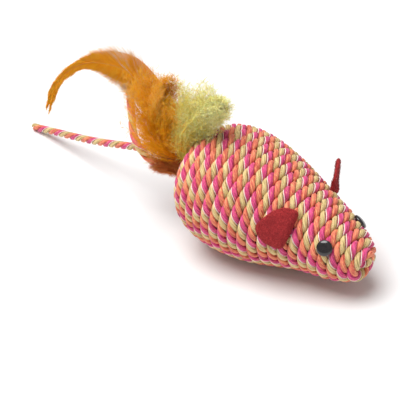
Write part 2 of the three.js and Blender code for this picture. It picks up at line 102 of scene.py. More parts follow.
# Free cords
TAIL_RADIUS = 1.6
TAIL_LAY = 13.7
TAIL_STEP = 0.4
ROUTE_STEPS = 24
QUILL_STEP = 0.25
TAIL_ROUTE = (
    (CORD_END, 0, 2.3), (9, 0, 2.3), (4, 0, 2.3), (0, 0, 2.5), (-5, 0, 3), (-10.2, 0, 2.7),
    (-14.5, 0.1, 0.9), (-18.9, 0.2, -1.5), (-28, 0.6, -6.7), (-36.3, 1.1, -11.1),
    (-43.6, 1.6, -14.6), (-51.1, 2.2, -18.1), (-56.7, 2.7, -20.9), (-61.7, 3.2, -23.2),
    (-69, 3.9, -26.5), (-76.6, 4.7, -29.8), (-84.1, 5.4, -32.9), (-91.8, 6.1, -35.9),
    (-98.2, 6.8, -38.6), (-103.7, 7.3, -40.8), (-108.3, 7.6, -42.6), (-112.3, 7.9, -43.9),
)
LOOP_ROUTE = (
    (CORD_END, -2.2, -1.9), (9, -2.2, -1.9), (4, -2.2, -1.9), (0, -2.2, -2.1), (-5, -2.1, -3.1),
    (-10, -1.9, -5), (-16, -1.7, -7.9), (-20.5, -1.9, -9.6), (-24.5, -2.6, -9.3),
    (-28.3, -3.3, -6.7), (-31.2, -3.3, -4.2), (-33.9, -2.4, -1.7), (-36.4, -0.6, 0.7),
    (-39.2, 1.8, 3.4), (-41.8, 3.9, 7), (-43, 5.3, 11.5), (-42.2, 6, 16), (-39, 6.2, 20),
    (-34, 6.3, 22), (-28.5, 6.2, 21.2), (-23, 6, 18.2), (-18, 5.9, 13.6), (-13.5, 5.6, 8.2),
    (-9.5, 4.9, 3.2), (-5, 3.6, -0.2), (-1, 2.5, -1.6), (4, 2.2, -1.9), (9, 2.2, -1.9),
    (CORD_END, 2.2, -1.9),
)

# Camera
CAMERA_AROUND = 49.97
CAMERA_ABOVE = 33.4
CAMERA_ROLL = -9.0
CAMERA_AIM = (BODY_PLACE[0] + 12.755, BODY_PLACE[1] - 12.917, BODY_PLACE[2] - 3.925)
CAMERA_DISTANCE = 549.8
CAMERA_LENS = 131.9
CAMERA_NEAR = 0.01


def colour(red, green, blue):
    """A screen colour as the linear value that a shader takes."""
    shares = [value / 255 for value in (red, green, blue)]
    return (*[s / 12.92 if s <= 0.04045 else ((s + 0.055) / 1.055) ** 2.4 for s in shares], 1)


def colours(shades):
    return [colour(*shade) for shade in shades]


# Nodes


class Link:
    """An output socket. The usual signs on it add Math nodes."""

    def __init__(self, maker, socket):
        self.maker, self.socket = maker, socket

    def math(self, operation, *values):
        sockets = dict(enumerate(values))
        return self.maker.node("ShaderNodeMath", sockets, operation=operation)

    def __add__(self, other):
        return self.math("ADD", self, other)

    def __radd__(self, other):
        return self.math("ADD", other, self)

    def __sub__(self, other):
        return self.math("SUBTRACT", self, other)

    def __rsub__(self, other):
        return self.math("SUBTRACT", other, self)

    def __mul__(self, other):
        return self.math("MULTIPLY", self, other)

    def __rmul__(self, other):
        return self.math("MULTIPLY", other, self)

    def __truediv__(self, other):
        return self.math("DIVIDE", self, other)


class Maker:
    """Adds nodes to one tree."""

    def __init__(self, tree):
        self.tree = tree

    def fill(self, node, sockets):
        """Gives sockets of a node their plain values or links."""
        for name, value in sockets.items():
            if isinstance(value, Link):
                self.tree.links.new(value.socket, node.inputs[name])
            else:
                node.inputs[name].default_value = value

    def node(self, kind, sockets=None, out=0, **settings):
        """A node of that type: its settings first, then the values or links of its sockets."""
        made = self.tree.nodes.new(kind)
        for name, value in settings.items():
            setattr(made, name, value)
        self.fill(made, sockets or {})
        return Link(self, made.outputs[out])

    def more(self, link, out):
        """Another output of the node that a link comes from."""
        return Link(self, link.socket.node.outputs[out])

    def vector(self, operation, *values):
        return self.node("ShaderNodeVectorMath", dict(enumerate(values)), operation=operation)

    def scaled(self, vector, share):
        return self.node("ShaderNodeVectorMath", {0: vector, "Scale": share}, operation="SCALE")

    def xyz(self, **parts):
        return self.node("ShaderNodeCombineXYZ", parts)

    def stretched(self, vector, scale, turn=(0, 0, 0)):
        """A vector turned and scaled along its axes, so that a grain is drawn out."""
        sockets = {"Vector": vector, "Rotation": turn, "Scale": scale}
        return self.node("ShaderNodeMapping", sockets, vector_type="POINT")

    def noise(self, vector, scale, detail=2.0, out=0):
        sockets = {"Vector": vector, "Scale": scale, "Detail": detail}
        return self.node("ShaderNodeTexNoise", sockets, out)

    # Shaders

    def place(self):
        """Where the shaded point is, in metres."""
        return self.node("ShaderNodeTexCoord", out=3)

    def stored(self, name, out=2):
        """A value kept on the mesh: output 1 is a vector, output 2 a number."""
        return self.node("ShaderNodeAttribute", out=out, attribute_name=name)

    def ramp(self, share, *stops):
        """Colours by share, each stop a place and a colour."""
        link = self.node("ShaderNodeValToRGB", {"Fac": share})
        elements = link.socket.node.color_ramp.elements
        while len(elements) < len(stops):
            elements.new(1)
        for element, (place, shade) in zip(elements, stops):
            element.position = place
            element.color = shade
        return link

    def mixed(self, share, first, second):
        """Two colours mixed."""
        return self.node("ShaderNodeMix", {0: share, 6: first, 7: second}, 2, data_type="RGBA")

    def ranged(self, value, start, end, low, high, way="LINEAR"):
        """A value between start and end, carried to one between low and high."""
        sockets = {"Value": value, 1: start, 2: end, 3: low, 4: high}
        return self.node("ShaderNodeMapRange", sockets, interpolation_type=way)

    def bump(self, height, strength, distance):
        sockets = {"Strength": strength, "Distance": distance, "Height": height}
        return self.node("ShaderNodeBump", sockets)

    # Geometry

    def named(self, name, form="FLOAT"):
        """A value that the carrier holds under a name."""
        return self.node("GeometryNodeInputNamedAttribute", {"Name": name}, data_type=form)

    def kept(self, geometry, name, value, form="FLOAT"):
        """A geometry with a value kept on its points under a name."""
        sockets = {"Geometry": geometry, "Name": name, "Value": value}
        kind = "GeometryNodeStoreNamedAttribute"
        return self.node(kind, sockets, data_type=form, domain="POINT")

    def captured(self, geometry, name, form, value):
        """A geometry with a value taken along. The value is its second output."""
        made = self.tree.nodes.new("GeometryNodeCaptureAttribute")
        made.capture_items.new(form, name)
        self.fill(made, {"Geometry": geometry, name: value})
        return Link(self, made.outputs[0])

    def moved(self, geometry, **sockets):
        return self.node("GeometryNodeSetPosition", {"Geometry": geometry, **sockets})

    def ring(self, points):
        sockets = {"Resolution": points, "Radius": 1.0}
        return self.node("GeometryNodeCurvePrimitiveCircle", sockets)

    def tube(self, curve, section, width, caps=True):
        """A skin round a curve."""
        sockets = {"Curve": curve, "Profile Curve": section, "Scale": width, "Fill Caps": caps}
        return self.node("GeometryNodeCurveToMesh", sockets)


INPUT_KINDS = {"Carrier": "Geometry", "Steps": "Int", "Material": "Material"}


def group(name, *titles):
    """A geometry tree that takes a carrier, the named values and a material. Gives its maker
    and its inputs."""
    tree = bpy.data.node_groups.new(name, "GeometryNodeTree")
    for title in ("Carrier", *titles, "Material"):
        kind = "NodeSocket" + INPUT_KINDS.get(title, "Float")
        tree.interface.new_socket(title, in_out="INPUT", socket_type=kind)
    tree.interface.new_socket("Made", in_out="OUTPUT", socket_type="NodeSocketGeometry")
    make = Maker(tree)
    entry = tree.nodes.new("NodeGroupInput")
    return make, {socket.name: Link(make, socket) for socket in entry.outputs if socket.name}


def ended(make, link, made):
    """The last nodes of every tree: smooth faces, instances made real, and the material."""
    smooth = make.node("GeometryNodeSetShadeSmooth", {"Geometry": made})
    real = make.node("GeometryNodeRealizeInstances", {"Geometry": smooth})
    sockets = {"Geometry": real, "Material": link["Material"]}
    painted = make.node("GeometryNodeSetMaterial", sockets)
    exit_node = make.tree.nodes.new("NodeGroupOutput")
    make.tree.links.new(painted.socket, exit_node.inputs[0])
    return make.tree


# Objects and meshes


def placed(name, data):
    """A new object in the scene."""
    made = bpy.data.objects.new(name, data)
    scene.collection.objects.link(made)
    return made


def new_mesh(name, points, edges=(), faces=(), **values):
    """A mesh from points in metres, with named values on its points."""
    mesh = bpy.data.meshes.new(name)
    mesh.from_pydata([tuple(p) for p in points], edges, faces)
    for title, numbers in values.items():
        numbers = np.asarray(numbers, float)
        form, part = ("FLOAT_VECTOR", "vector") if numbers.ndim == 2 else ("FLOAT", "value")
        mesh.attributes.new(title, form, "POINT").data.foreach_set(part, numbers.ravel())
    return mesh


def grid_faces(rows, columns, closed):
    """Faces between rows of points. A closed grid joins its last column to its first."""
    return [
        (i * columns + k, i * columns + (k + 1) % columns,
         (i + 1) * columns + (k + 1) % columns, (i + 1) * columns + k)
        for i in range(rows - 1)
        for k in range(columns if closed else columns - 1)
    ]


def smoothed(mesh):
    mesh.polygons.foreach_set("use_smooth", [True] * len(mesh.polygons))
    return mesh


def grown(name, carrier, tree, values):
    """Runs a tree on a carrier mesh and keeps the result as a plain mesh. Values that the tree
    has no input for are left out."""
    piece = placed(name, carrier)
    modifier = piece.modifiers.new("grown", "NODES")
    modifier.node_group = tree
    for item in tree.interface.items_tree:
        if item.in_out == "INPUT" and item.name in values:
            modifier[item.identifier] = values[item.name]
    bpy.context.view_layer.update()
    depsgraph = bpy.context.evaluated_depsgraph_get()
    mesh = bpy.data.meshes.new_from_object(piece.evaluated_get(depsgraph))
    piece.modifiers.remove(modifier)
    piece.data = mesh
    mesh.name = name
    return piece


def joined(name, pieces):
    """Several pieces made one object, their materials kept."""
    bpy.ops.object.select_all(action="DESELECT")
    for piece in pieces:
        piece.select_set(True)
    bpy.context.view_layer.objects.active = pieces[0]
    bpy.ops.object.join()
    pieces[0].name = name
    return pieces[0]


def given(piece, node):
    """Carried by the body, in place of a CAD node, which is hidden."""
    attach(piece, "root")
    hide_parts(node)


def coordinates(mesh):
    found = np.empty(len(mesh.vertices) * 3)
    mesh.vertices.foreach_get("co", found)
    return found.reshape(-1, 3)


def unit(vectors):
    return vectors / np.linalg.norm(vectors, axis=-1, keepdims=True)


def laid(points):
    """Points of the body's frame in millimetres, laid on the floor in metres."""
    matrix = np.array(LAID)
    return np.asarray(points, float) @ matrix[:3, :3].T + matrix[:3, 3]


def turned(vectors):
    """Directions or sizes of the body's frame, turned as it is laid, in metres."""
    return np.asarray(vectors, float) @ np.array(LAID)[:3, :3].T


# Camera


def make_camera():
    around, above = math.radians(CAMERA_AROUND), math.radians(CAMERA_ABOVE)
    roll = math.radians(CAMERA_ROLL)
    flat = math.cos(above)
    back = Vector((math.sin(around) * flat, -math.cos(around) * flat, math.sin(above)))
    level = Vector((math.cos(around), math.sin(around), 0))
    right = level * math.cos(roll) + back.cross(level) * math.sin(roll)
    up = back.cross(right)
    place = Vector(CAMERA_AIM) * MM + back * (CAMERA_DISTANCE * MM)
    camera = placed("camera", bpy.data.cameras.new("camera"))
    camera.matrix_world = Matrix(
        [(right[i], up[i], back[i], place[i]) for i in range(3)] + [(0, 0, 0, 1)]
    )
    camera.data.lens = CAMERA_LENS
    camera.data.clip_start = CAMERA_NEAR
    scene.camera = camera


make_camera()


# Lines


def smooth_line(points, steps, power=0.5, ends="mirrored"):
    """A Catmull-Rom line through the points, with that many steps a span."""
    points = np.asarray(points, float)
    if ends == "mirrored":
        first, last = 2 * points[0] - points[1], 2 * points[-1] - points[-2]
    else:
        first, last = points[0], points[-1]
    padded = np.vstack([first, points, last])
    line = []
    t = np.arange(steps)[:, None] / steps
    for a, b, c, d in zip(padded, padded[1:], padded[2:], padded[3:]):
        before, here, after = [
            max(np.linalg.norm(q - p), 1e-9) ** power for p, q in ((a, b), (b, c), (c, d))
        ]
        leave = ((b - a) / before - (c - a) / (before + here) + (c - b) / here) * here
        arrive = ((c - b) / here - (d - b) / (here + after) + (d - c) / after) * here
        line.append(
            b
            + leave * t
            + (-3 * b + 3 * c - 2 * leave - arrive) * t**2
            + (2 * b - 2 * c + leave + arrive) * t**3
        )
    line.append(points[-1:])
    return np.vstack(line)


def running(line):
    """The running length at each point of a line."""
    return np.concatenate([[0], np.cumsum(np.linalg.norm(np.diff(line, axis=0), axis=1))])


def sampled(wanted, along, table):
    """Each column of a table, read at the wanted places along it."""
    return [np.interp(wanted, along, column) for column in table.T]


def even_line(line, step):
    """A line with its points an even step apart, and any other columns kept with them."""
    along = running(line[:, :3])
    count = max(int(round(along[-1] / step)), 2)
    return np.stack(sampled(np.linspace(0, along[-1], count + 1), along, line), axis=1)


def line_carrier(name, line):
    """A mesh of edges only along a line, in metres. A fourth column is the width share."""
    edges = [(i, i + 1) for i in range(len(line) - 1)]
    width = line[:, 3] if line.shape[1] > 3 else np.ones(len(line))
    return new_mesh(name, laid(line[:, :3]), edges, width=width)


# Body outline


def body_outline():
    shares = np.array([STATION_SHARES, RADIUS_SHARES]).T * (BODY_LENGTH, BODY_RADIUS)
    dense = smooth_line(shares, OUTLINE_STEPS, power=0, ends="kept")
    along = running(dense)
    return np.stack(sampled(np.linspace(0, along[-1], OUTLINE_POINTS), along, dense), axis=1)


OUTLINE = body_outline()


def inset_outline(inset, rear_radius, nose_radius):
    """The outline moved inwards: columns of station, radius, the outward normal and length."""
    before = np.vstack([OUTLINE[:1], OUTLINE[:-1]])
    after = np.vstack([OUTLINE[1:], OUTLINE[-1:]])
    way = unit(after - before)
    x = OUTLINE[:, 0] + way[:, 1] * inset
    r = OUTLINE[:, 1] - way[:, 0] * inset
    least = np.where(x < BODY_LENGTH / 2, rear_radius, nose_radius)
    kept = r >= least
    rows = np.stack([x, r, -way[:, 1], way[:, 0]], axis=1)[kept]
    return np.column_stack([rows, running(rows[:, :2])])


SURFACE = inset_outline(0, 0, 0)


def around(x, r, angle):
    """A point at a radius and an angle round the body's axis, 0 on the back."""
    return np.stack([x + 0 * angle, r * np.sin(angle), r * np.cos(angle)], axis=-1)


def surface_at(station, angle):
    """Where the wound surface is: its point, and the ways out, down the side and back."""
    x, r, nx, nr, _ = sampled(station, SURFACE[:, 0], SURFACE)
    point = np.array([x, r * math.sin(angle), r * math.cos(angle)])
    out = np.array([nx, nr * math.sin(angle), nr * math.cos(angle)])
    down = np.array([0, math.cos(angle), -math.sin(angle)]) * math.copysign(1, angle)
    back = np.array([-nr, nx * math.sin(angle), nx * math.cos(angle)])
    return point, out, down, back


# Winding route


WINDING = inset_outline(TURN_INSET, FIRST_TURN_RADIUS, NOSE_TURN_RADIUS)
TURNS = WINDING[-1, 4] / TURN_PITCH


def smooth_steps(value):
    value = np.clip(value, 0, 1)
    return value * value * (3 - 2 * value)


def cord_centre(along, angle):
    """Centre of the wound cord at a length along the egg and an angle round it. The body is
    drawn in under the neck."""
    x, r, nx, nr, _ = sampled(along, WINDING[:, 4], WINDING)
    near = np.exp(-(((x - HOLLOW_STATION) / HOLLOW_REACH) ** 2))
    facing = 0.5 + 0.5 * np.cos(angle - math.radians(HOLLOW_SIDE))
    hollow = HOLLOW_DEPTH * near * facing**2
    return around(x - nx * CORD_PUSH, r - nr * CORD_PUSH - hollow, angle)


def turn_length(turns, angle):
    """How far along the egg the cord has come after a number of turns. The turns lean towards
    the nose on the back and on the right, more over the first turns and less over the last."""
    grow = np.minimum(
        smooth_steps(turns / LEAN_GROWS), smooth_steps((TURNS - turns) / LEAN_FADES)
    )
    wander = sum(size * np.sin(angle * rate + phase) for size, rate, phase in WANDERS)
    lean = LEAN_BACK * np.cos(angle) - LEAN_RIGHT * np.sin(angle)
    return turns * TURN_PITCH + grow * lean + wander


def turn_way(turn):
    """The way in which the cord runs round the body's axis."""
    angle = 2 * math.pi * turn
    return np.array([0, math.cos(angle), -math.sin(angle)])


def bezier(points, shares):
    a, b, c, d = points
    t = np.asarray(shares)[:, None]
    return a * (1 - t) ** 3 + 3 * b * t * (1 - t) ** 2 + 3 * c * t**2 * (1 - t) + d * t**3


def winding_route():
    """Centre line of the winding: out of the core at the rear, round the egg, across the nose
    and back into the core. Its fourth column is the cord's width share, from the gap between
    the turns before and after."""
    inward = np.array([1.0, 0, 0])
    start, way = cord_centre(0.0, 0.0), turn_way(0)
    corner = start + inward * TUCK_BEND
    mouth = corner - way * TUCK_BEND
    rear_end = mouth + inward * TUCK_STRAIGHT
    quarter = np.linspace(0, math.pi / 2, BEND_POINTS)[:-1, None]
    bend = corner - way * TUCK_BEND * np.cos(quarter) - inward * TUCK_BEND * np.sin(quarter)
    turns = np.arange(0, TURNS, 1 / POINTS_PER_TURN)
    angle = 2 * math.pi * turns
    coil = cord_centre(turn_length(turns, angle), angle)
    width = (turn_length(turns + 0.5, angle) - turn_length(turns - 0.5, angle)) / TURN_PITCH
    last, last_way = coil[-1], turn_way(turns[-1])
    along_share, out_share = CROSSING_SHARES
    nose_end = np.array([last[0] - NOSE_TUCK_DEPTH, 0, 0])
    nose_mouth = nose_end + inward * TUCK_STRAIGHT
    leave = last + last_way * NOSE_TURN_RADIUS * along_share
    leave = leave + inward * CORD_RADIUS * 2 * out_share
    corners = last, leave, nose_mouth + inward * NOSE_TURN_RADIUS, nose_mouth
    crossing = bezier(corners, np.linspace(0, 1, CROSSING_POINTS)[1:])
    line = np.vstack([rear_end, bend, coil, crossing, nose_end])
    shares = [np.ones(1 + len(bend)), width, np.ones(len(crossing) + 1)]
    return np.column_stack([line, np.concatenate(shares)])


# Laid cord


def twisted(make, link):
    """The carrier as a curve that turns about its own line once a lay, and its running length."""
    curve = make.node("GeometryNodeMeshToCurve", {"Mesh": link["Carrier"]})
    length = make.node("GeometryNodeSplineParameter", out=1)
    tilt = link["Start turn"] + length / link["Lay"] * (2 * math.pi)
    return make.node("GeometryNodeSetCurveTilt", {"Curve": curve, "Tilt": tilt}), length


def strand_tree():
    """One strand of a laid cord: its lobed section is turned about the cord's line."""
    make, link = group("laid strand", "Lay", "Start turn", "Cord radius")
    curve, length = twisted(make, link)
    run = make.captured(curve, "Run", "FLOAT", length)
    place = make.node("GeometryNodeInputPosition")
    x = make.node("ShaderNodeSeparateXYZ", {"Vector": place})
    wide = STRAND_WIDTH * make.more(x, 1) * (0.8 + 0.2 * x)
    lobe = make.xyz(X=STRAND_MIDDLE + STRAND_DEPTH * x, Y=wide)
    shaped = make.moved(make.ring(14), Position=lobe)
    section = make.captured(shaped, "Spot", "VECTOR", place)
    radius = link["Cord radius"]
    tube = make.tube(run, section, radius * make.named("width"))
    spot = make.node("ShaderNodeSeparateXYZ", {"Vector": make.more(section, 1)})
    weave = make.xyz(X=spot * radius, Y=make.more(spot, 1) * radius, Z=make.more(run, 1))
    return ended(make, link, make.kept(tube, "weave", weave, "FLOAT_VECTOR"))


def thread_tree():
    """A thin thread that follows the groove between two strands of a laid cord."""
    titles = ("Lay", "Start turn", "Cord radius", "Reach share", "Thread radius")
    make, link = group("groove thread", *titles)
    curve, _ = twisted(make, link)
    small = make.scaled(make.node("GeometryNodeInputPosition"), link["Thread radius"])
    reach = make.xyz(X=link["Cord radius"] * link["Reach share"])
    section = make.moved(make.ring(6), Position=make.vector("ADD", small, reach))
    return ended(make, link, make.tube(curve, section, make.named("width")))


STRAND = strand_tree()
THREAD = thread_tree()
BLACK = (0, 0, 0, 1)
WHITE = (1, 1, 1, 1)


def shader(name):
    material = bpy.data.materials.new(name)
    material.use_nodes = True
    make = Maker(material.node_tree)
    return material, make, material.node_tree.nodes["Principled BSDF"]


def fibre_material(name, *shades):
    """Spun fibre: fine hairs along the strand, uneven dye and small pale flecks."""
    base, light, dark, fleck = colours(shades)
    material, make, surface = shader(name)
    weave = make.stored("weave", 1)
    fine = make.noise(make.stretched(weave, (1, 1, 0.16), (0.35, 0.35, 0)), 2400.0, 4.0)
    dots = make.noise(weave, 1500.0)
    shade = make.ramp(fine, (0.38, dark), (0.5, base), (0.64, light))
    uneven = make.ramp(make.noise(weave, 520.0), (0.35, BLACK), (0.7, WHITE))
    flecks = make.ramp(dots, (0.55, BLACK), (0.68, WHITE))
    dyed = make.mixed(uneven * 0.45, shade, light)
    make.fill(surface, {
        "Base Color": make.mixed(flecks * 0.6, dyed, fleck),
        "Normal": make.bump(fine + 0.5 * dots, 0.7, 0.00025),
        "Roughness": 0.75,
        "Sheen Weight": 0.15,
        "Sheen Roughness": 0.5,
    })
    return material


def grained_material(name, base, dark, grain, stops, relief, stretch=None, rough=None, **plain):
    """A surface with one grain, given by scale and detail, that sets its shade between two
    stops and its relief, given by strength and distance. Its roughness may follow a grain too,
    given by scale, detail, and the range read and the range made."""
    material, make, surface = shader(name)
    place = make.place()
    if stretch:
        place = make.stretched(place, stretch)
    streaks = make.noise(place, *grain)
    sockets = {
        "Base Color": make.ramp(streaks, (stops[0], dark), (stops[1], base)),
        "Normal": make.bump(streaks, *relief),
    }
    if rough:
        sockets["Roughness"] = make.ranged(make.noise(place, *rough[:2]), *rough[2:])
    sockets.update({title.replace("_", " "): value for title, value in plain.items()})
    make.fill(surface, sockets)
    return material


def thread_material(name, *shades):
    return grained_material(
        name, *colours(shades), grain=(2600.0, 2.0), stops=(0.35, 0.6), relief=(0.5, 0.0001),
        Roughness=0.6,
    )


# Strands: their middle, light and dark shades, and their flecks
PINK = fibre_material(
    "pink strand", (202, 42, 110), (236, 92, 150), (146, 16, 70), (250, 150, 130)
)
CORAL = fibre_material(
    "coral strand", (220, 102, 84), (248, 154, 112), (176, 54, 44), (254, 194, 124)
)
STRAW = fibre_material(
    "straw strand", (210, 182, 120), (236, 212, 152), (148, 122, 62), (250, 206, 150)
)
WHITE_THREAD = thread_material("white thread", (255, 240, 232), (240, 208, 200))
# A thin dark olive thread in the groove between two strands: painted groove shadow.
GROOVE_SHADOW_THREAD = thread_material("painted groove shadow thread", (96, 84, 44), (62, 52, 30))

# Parts of a cord: the strands in the order in which they lie round it, then the threads in
# their grooves: a white tracer, and a thin dark olive thread that is painted shadow in a groove.
# Each has its tree, its angle, a thread's reach and thickness, and its material.
CORD_PARTS = (
    ("pink_strand", STRAND, 0, 0, 0, PINK),
    ("coral_strand", STRAND, 120, 0, 0, CORAL),
    ("straw_strand", STRAND, 240, 0, 0, STRAW),
    ("white_thread", THREAD, 308, 0.87, 0.24, WHITE_THREAD),
    ("groove_shadow_thread", THREAD, 205, 0.88, 0.12, GROOVE_SHADOW_THREAD),
)


def laid_cord(name, line, radius, lay, start):
    """The strands and threads of a cord along a line, as separate objects."""
    carrier = line_carrier(name, line)
    pieces = []
    for title, tree, angle, reach, thick, material in CORD_PARTS:
        values = {
            "Lay": lay * MM,
            "Start turn": math.radians(angle + start),
            "Cord radius": radius * MM,
            "Reach share": reach,
            "Thread radius": thick * radius / CORD_RADIUS * MM,
            "Material": material,
        }
        pieces.append(grown(f"{name}_{title}", carrier.copy(), tree, values))
    return pieces


def free_cord(name, node, route, start):
    line = even_line(smooth_line(route, ROUTE_STEPS), TAIL_STEP)
    piece = joined(name, laid_cord(name, line, TAIL_RADIUS, -TAIL_LAY, start))
    given(piece, node)


free_cord("tail", "tail_cord", TAIL_ROUTE, start=0)
free_cord("hanging_loop", "hang_loop", LOOP_ROUTE, start=60)


# Wound body


def settle(mesh):
    """The cord that lies on the floor is pressed flat by the toy's weight."""
    points = coordinates(mesh)
    soft = BELLY_SOFT * MM
    low = points[:, 2] < soft
    points[low, 2] = soft * np.exp(points[low, 2] / soft - 1)
    mesh.vertices.foreach_set("co", points.ravel())
    mesh.update()


def wound_body():
    line = even_line(winding_route(), CORD_STEP)
    for piece in laid_cord("body", line, CORD_RADIUS, -CORD_LAY, 0):
        settle(piece.data)
        given(piece, "body_winding")


wound_body()


# Soft lines: barbs and hairs


def barb_tree():
    """A fine bent hair on each point of the carrier, thinner towards its tip."""
    make, link = group("barbs", "Steps", "Wave", "Wave scale")
    straight = make.node("GeometryNodeCurvePrimitiveLine", {"End": (0, 0, LINE_UNIT)})
    sockets = {"Curve": straight, "Count": link["Steps"]}
    stepped = make.node("GeometryNodeResampleCurve", sockets)
    sockets = {"Points": link["Carrier"], "Instance": stepped}
    planted = make.node("GeometryNodeInstanceOnPoints", sockets)
    lines = make.node("GeometryNodeRealizeInstances", {"Geometry": planted})
    along = make.node("GeometryNodeSplineParameter")
    kept = make.kept(lines, "along", along)
    aim, bend = make.named("aim", "FLOAT_VECTOR"), make.named("bend", "FLOAT_VECTOR")
    unlike = make.vector("ADD", make.node("GeometryNodeInputPosition"), make.scaled(aim, 40.0))
    noise = make.noise(unlike, link["Wave scale"], 1.0, 1)
    wave = make.scaled(make.vector("SUBTRACT", noise, (0.5, 0.5, 0.5)), along * link["Wave"])
    bow = make.scaled(bend, 4.0 * along * (1.0 - along))
    back = make.xyz(Z=along * -LINE_UNIT)
    move = make.vector("ADD", make.vector("ADD", make.scaled(aim, along), bow), back)
    moved = make.moved(kept, Offset=make.vector("ADD", move, wave))
    width = make.named("thick") * (1.05 - along)
    return ended(make, link, make.tube(moved, make.ring(3), width, caps=False))


def quill_tree():
    """A stem that tapers along the carrier's line."""
    make, link = group("quill", "Radius", "Taper share")
    curve = make.node("GeometryNodeMeshToCurve", {"Mesh": link["Carrier"]})
    along = make.node("GeometryNodeSplineParameter")
    width = link["Radius"] * (1.0 - along * link["Taper share"])
    return ended(make, link, make.tube(curve, make.ring(10), width))


BARBS = barb_tree()
QUILL = quill_tree()


def haired(name, carrier, material, steps, wave, wave_scale):
    """A hair on each point of a carrier that holds its aim, bend and thickness."""
    values = {"Steps": steps, "Wave": wave * MM, "Wave scale": wave_scale, "Material": material}
    return grown(name, carrier, BARBS, values)


def laid_hairs(name, hairs, thick, material, steps, wave, wave_scale, **values):
    """Hairs given by their places, aims, bends and thickness in the body's frame."""
    places, aims, bends = hairs
    carrier = new_mesh(
        name, laid(places), aim=turned(aims), bend=turned(bends), thick=thick * MM, **values
    )
    return haired(name, carrier, material, steps, wave, wave_scale)


# Feather materials


def down_material(name, *shades):
    """Dyed barbs: darker at the quill, pale at the tip, some of them washed out."""
    root, middle, tip, faded = colours(shades)
    material, make, surface = shader(name)
    along, tone, faint = [make.stored(title) for title in ("along", "tone", "faded")]
    place = make.place()
    patch = (make.noise(place, 160.0) - 0.5) * 0.4
    fine = make.noise(place, 2400.0)
    dyed = make.ramp(along * 0.45 + tone * 0.6 + patch, (0.15, root), (0.5, middle), (1, tip))
    grain = make.ramp(fine, (0.35, WHITE), (0.6, BLACK))
    grainy = make.mixed(grain * 0.35, dyed, root)
    washed = make.ranged(faint + along * 0.5 + patch, 0.75, 1.15, 0.0, 1.0, "SMOOTHSTEP")
    make.fill(surface, {
        "Base Color": make.mixed(washed, grainy, faded),
        "Normal": make.bump(fine, 0.4, 0.0001),
        "Roughness": 0.7,
        "Specular IOR Level": 0.15,
        "Subsurface Weight": 0.3,
        "Subsurface Scale": 0.001,
    })
    return material


def quill_material(name, *shades):
    return grained_material(
        name, *colours(shades), grain=(700.0, 3.0), stops=(0.35, 0.65), relief=(0.3, 0.0001),
        Roughness=0.4,
    )


def vane_material(name, *shades):
    """Web of a vane: barbs as slanting ribs, darker by the quill."""
    base, dark, pale = colours(shades)
    material, make, surface = shader(name)
    drawn = make.stretched(make.stored("rib", 1), (1, 0.08, 1))
    ribs = make.noise(drawn, 2600.0)
    shade = make.ramp(ribs, (0.3, dark), (0.52, base), (0.75, pale))
    near = make.mixed((1.0 - make.stored("edge")) * 0.35, shade, dark)
    broad = make.ranged(make.noise(drawn, 420.0), 0.45, 0.7, 0.0, 0.5)
    make.fill(surface, {
        "Base Color": make.mixed(broad, near, pale),
        "Normal": make.bump(ribs, 0.6, 0.0002),
        "Roughness": 0.7,
        "Specular IOR Level": 0.15,
    })
    return material


# Feathers, on the same quill lines as the stand-in blades


class Feather:
    """The quill line of a feather and how wide and deep its blade is along it."""

    def __init__(self, length, quill, half, lane, route, widths):
        self.length, self.quill, self.half = length, quill, half
        lane = [share * SOCKET_RADIUS for share in lane]
        places = [(CORD_END, *lane), (PLUG_FACE / 2, *lane)]
        places += [tuple(share * length for share in spot) for spot in route]
        self.line = even_line(smooth_line(places, ROUTE_STEPS), QUILL_STEP)
        along = running(self.line)
        self.span = along[-1]
        self.along = along / self.span
        self.way = unit(np.gradient(self.line, axis=0))
        self.widths = np.array(widths)

    def at(self, share):
        """Point, way, side and depth at shares of the quill; past its end it goes straight on."""
        inside = np.clip(share, 0, 1)
        point = np.stack(sampled(inside, self.along, self.line), -1)
        way = unit(np.stack(sampled(inside, self.along, self.way), -1))
        point = point + way * ((share - inside) * self.span)[..., None]
        side = unit(np.cross((0.0, 1.0, 0.0), way))
        return point, way, side, np.cross(side, way)

    def reach(self, share):
        """How far the blade goes up, down and deep at shares of the quill, in millimetres."""
        rows = np.linspace(0, 1, len(self.widths))
        up, low, thick = sampled(share, rows, self.widths)
        return up * self.length, low * self.length, thick * self.half


VANE_DISH = 0.12
VANE_SLANT = 1.6
BARB_WAVER = 0.035
BARB_THICK = (0.08, 0.14)
FLUFF_THICK = (0.06, 0.11)
VANE_BARB_THICK = (0.07, 0.12)
TUFT_REACH = (0.12, 0.42)
ROOT_SPREAD = 0.05
TIP_SPREAD = 0.04
ANGLE_SPREAD = 0.32

# The hackle's barbs: where they leave the quill, how far on they end and how near the blade's
# edge. One in so many edges the vane farther out, and those below the last share are downy.
VANE_START = 0.2
VANE_LONG = 0.78
VANE_LEAD = (0.05, 0.085)
VANE_REACH = (0.82, 1.03)
EDGING_EVERY = 9
EDGING_ROOTS = (0.36, 0.62)
EDGING_REACH = 0.24
DOWNY_BELOW = 0.66

